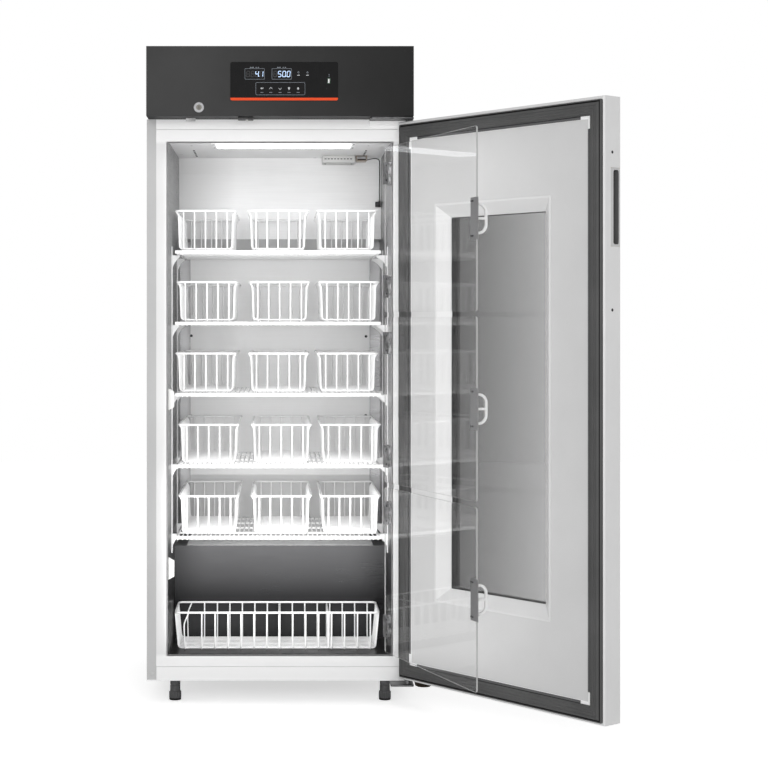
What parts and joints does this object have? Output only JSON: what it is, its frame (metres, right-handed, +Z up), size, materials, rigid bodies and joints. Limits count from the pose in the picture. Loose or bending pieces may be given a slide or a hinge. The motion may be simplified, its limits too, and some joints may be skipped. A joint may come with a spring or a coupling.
{
  "type": "blood bank refrigerator",
  "caption": "Upright blood bank refrigerator with a windowed outer door, clear inner doors, wire shelves with sliding bag baskets and a control fascia.",
  "frame": {"origin": "middle of the four levelling feet, on the floor", "axes": "+X to the cabinet's right seen from its front, +Y towards its back, +Z up"},
  "size_m": [1.0561, 1.1385, 1.5908],
  "materials": {
    "case_grey": "satin",
    "frame_white": "satin",
    "foam": "matte",
    "liner_steel": "satin",
    "duct_steel": "satin",
    "coil_metal": "satin",
    "shelf_white": "gloss",
    "basket_white": "gloss",
    "lamp_cover": "gloss",
    "black_plastic": "matte",
    "catch_white": "satin",
    "hinge_steel": "satin",
    "housing_grey": "satin",
    "panel_black": "gloss",
    "board_green": "matte",
    "lock_chrome": "polished",
    "plug_brass": "satin",
    "bolt_white": "satin",
    "foot_black": "matte",
    "compressor_black": "satin",
    "fan_black": "satin",
    "motor_steel": "satin",
    "door_paint": "satin",
    "door_liner_white": "satin",
    "gasket_grey": "matte",
    "bezel_grey": "satin",
    "window_glass": "polished",
    "grip_grey": "satin",
    "cap_brown": "satin",
    "acrylic_clear": "polished",
    "fitting_white": "satin"
  },
  "bodies": {
    "cabinet": {"outer_case": "case_grey", "back_panel": "case_grey", "rear_grille": "case_grey", "power_inlet": "black_plastic", "foam_insulation": "foam", "inner_liner": "liner_steel", "front_frame": "frame_white", "evaporator_cover": "duct_steel", "duct_panel": "duct_steel", "refrigerant_coils": "coil_metal", "shelf_supports": "shelf_white", "wire_shelves": "shelf_white", "ceiling_lamp": "lamp_cover", "air_sensor": "black_plastic", "inner_door_catches": "catch_white", "inner_hinge_posts": "hinge_steel", "door_hinge_brackets": "hinge_steel", "top_housing": "housing_grey", "control_panel": "panel_black", "display_board": "board_green", "lock_barrel": "lock_chrome", "door_switch": "black_plastic", "levelling_feet": "foot_black", "compressor": "compressor_black", "fan_motors": "motor_steel"},
    "outer_door": {"door_skin": "door_paint", "door_foam": "foam", "door_liner": "door_liner_white", "door_gasket": "gasket_grey", "window_bezel": "bezel_grey", "glazing_unit": "window_glass", "door_handle_insert": "grip_grey", "door_closer_cap": "cap_brown"},
    "inner_door_leaf_1": {"inner_door_1": "acrylic_clear", "inner_door_fittings_1": "fitting_white"},
    "inner_door_leaf_2": {"inner_door_2": "acrylic_clear", "inner_door_fittings_2": "fitting_white"},
    "inner_door_leaf_3": {"inner_door_3": "acrylic_clear", "inner_door_fittings_3": "fitting_white"},
    "basket_body_1_1": {"basket_1_1": "basket_white"},
    "basket_body_1_2": {"basket_1_2": "basket_white"},
    "basket_body_1_3": {"basket_1_3": "basket_white"},
    "basket_body_2_1": {"basket_2_1": "basket_white"},
    "basket_body_2_2": {"basket_2_2": "basket_white"},
    "basket_body_2_3": {"basket_2_3": "basket_white"},
    "basket_body_3_1": {"basket_3_1": "basket_white"},
    "basket_body_3_2": {"basket_3_2": "basket_white"},
    "basket_body_3_3": {"basket_3_3": "basket_white"},
    "basket_body_4_1": {"basket_4_1": "basket_white"},
    "basket_body_4_2": {"basket_4_2": "basket_white"},
    "basket_body_4_3": {"basket_4_3": "basket_white"},
    "basket_body_5_1": {"basket_5_1": "basket_white"},
    "basket_body_5_2": {"basket_5_2": "basket_white"},
    "basket_body_5_3": {"basket_5_3": "basket_white"},
    "wide_basket_body": {"wide_basket": "basket_white"},
    "plug_body": {"lock_plug": "plug_brass"},
    "bolt_body": {"lock_bolt": "bolt_white"},
    "plunger_body": {"switch_plunger": "catch_white"},
    "evaporator_fan_body": {"evaporator_fan": "fan_black"},
    "condenser_fan_body": {"condenser_fan": "fan_black"}
  },
  "joints": [
    {"name": "outer_door_hinge", "type": "hinge", "parent": "cabinet", "child": "outer_door", "pos_m": [0.309, -0.33, 0.739], "axis": [0, 0, 1], "range_deg": [-129, 0]},
    {"name": "inner_door_hinge_1", "type": "hinge", "parent": "cabinet", "child": "inner_door_leaf_1", "pos_m": [0.256, -0.278, 0.3232], "axis": [0, 0, 1], "range_deg": [-109.8, 0]},
    {"name": "inner_door_hinge_2", "type": "hinge", "parent": "cabinet", "child": "inner_door_leaf_2", "pos_m": [0.256, -0.278, 0.7388], "axis": [0, 0, 1], "range_deg": [-109.8, 0]},
    {"name": "inner_door_hinge_3", "type": "hinge", "parent": "cabinet", "child": "inner_door_leaf_3", "pos_m": [0.256, -0.278, 1.1544], "axis": [0, 0, 1], "range_deg": [-109.8, 0]},
    {"name": "basket_slide_1_1", "type": "slide", "parent": "cabinet", "child": "basket_body_1_1", "axis": [0, -1, 0], "range_m": [0, 0.3]},
    {"name": "basket_slide_1_2", "type": "slide", "parent": "cabinet", "child": "basket_body_1_2", "axis": [0, -1, 0], "range_m": [0, 0.3]},
    {"name": "basket_slide_1_3", "type": "slide", "parent": "cabinet", "child": "basket_body_1_3", "axis": [0, -1, 0], "range_m": [0, 0.3]},
    {"name": "basket_slide_2_1", "type": "slide", "parent": "cabinet", "child": "basket_body_2_1", "axis": [0, -1, 0], "range_m": [0, 0.3]},
    {"name": "basket_slide_2_2", "type": "slide", "parent": "cabinet", "child": "basket_body_2_2", "axis": [0, -1, 0], "range_m": [0, 0.3]},
    {"name": "basket_slide_2_3", "type": "slide", "parent": "cabinet", "child": "basket_body_2_3", "axis": [0, -1, 0], "range_m": [0, 0.3]},
    {"name": "basket_slide_3_1", "type": "slide", "parent": "cabinet", "child": "basket_body_3_1", "axis": [0, -1, 0], "range_m": [0, 0.3]},
    {"name": "basket_slide_3_2", "type": "slide", "parent": "cabinet", "child": "basket_body_3_2", "axis": [0, -1, 0], "range_m": [0, 0.3]},
    {"name": "basket_slide_3_3", "type": "slide", "parent": "cabinet", "child": "basket_body_3_3", "axis": [0, -1, 0], "range_m": [0, 0.3]},
    {"name": "basket_slide_4_1", "type": "slide", "parent": "cabinet", "child": "basket_body_4_1", "axis": [0, -1, 0], "range_m": [0, 0.3]},
    {"name": "basket_slide_4_2", "type": "slide", "parent": "cabinet", "child": "basket_body_4_2", "axis": [0, -1, 0], "range_m": [0, 0.3]},
    {"name": "basket_slide_4_3", "type": "slide", "parent": "cabinet", "child": "basket_body_4_3", "axis": [0, -1, 0], "range_m": [0, 0.3]},
    {"name": "basket_slide_5_1", "type": "slide", "parent": "cabinet", "child": "basket_body_5_1", "axis": [0, -1, 0], "range_m": [0, 0.3]},
    {"name": "basket_slide_5_2", "type": "slide", "parent": "cabinet", "child": "basket_body_5_2", "axis": [0, -1, 0], "range_m": [0, 0.3]},
    {"name": "basket_slide_5_3", "type": "slide", "parent": "cabinet", "child": "basket_body_5_3", "axis": [0, -1, 0], "range_m": [0, 0.3]},
    {"name": "wide_basket_slide", "type": "slide", "parent": "cabinet", "child": "wide_basket_body", "axis": [0, -1, 0], "range_m": [0, 0.09]},
    {"name": "bolt_slide", "type": "slide", "parent": "cabinet", "child": "bolt_body", "axis": [0, 0, -1], "range_m": [0, 0.018]},
    {"name": "lock_turn", "type": "hinge", "parent": "cabinet", "child": "plug_body", "pos_m": [-0.1945, -0.35, 1.4435], "axis": [0, -1, 0], "range_deg": [0, 90]},
    {"name": "switch_press", "type": "slide", "parent": "cabinet", "child": "plunger_body", "axis": [0, 0, 1], "range_m": [0, 0.003], "stiffness_N_per_m": 150, "springref_m": -0.002},
    {"name": "evaporator_fan_spin", "type": "hinge", "parent": "cabinet", "child": "evaporator_fan_body", "pos_m": [0, 0.2047, 1.208], "axis": [0, 1, 0], "continuous": true},
    {"name": "condenser_fan_spin", "type": "hinge", "parent": "cabinet", "child": "condenser_fan_body", "pos_m": [-0.12, 0.2655, 0.1402], "axis": [0, 1, 0], "continuous": true}
  ],
  "couplings": [
    {"joint": "inner_door_hinge_1", "follows": "outer_door_hinge", "ratio": 0.851},
    {"joint": "inner_door_hinge_2", "follows": "outer_door_hinge", "ratio": 0.851},
    {"joint": "inner_door_hinge_3", "follows": "outer_door_hinge", "ratio": 0.851},
    {"joint": "lock_turn", "follows": "bolt_slide", "rad_per_m": 87.26}
  ]
}
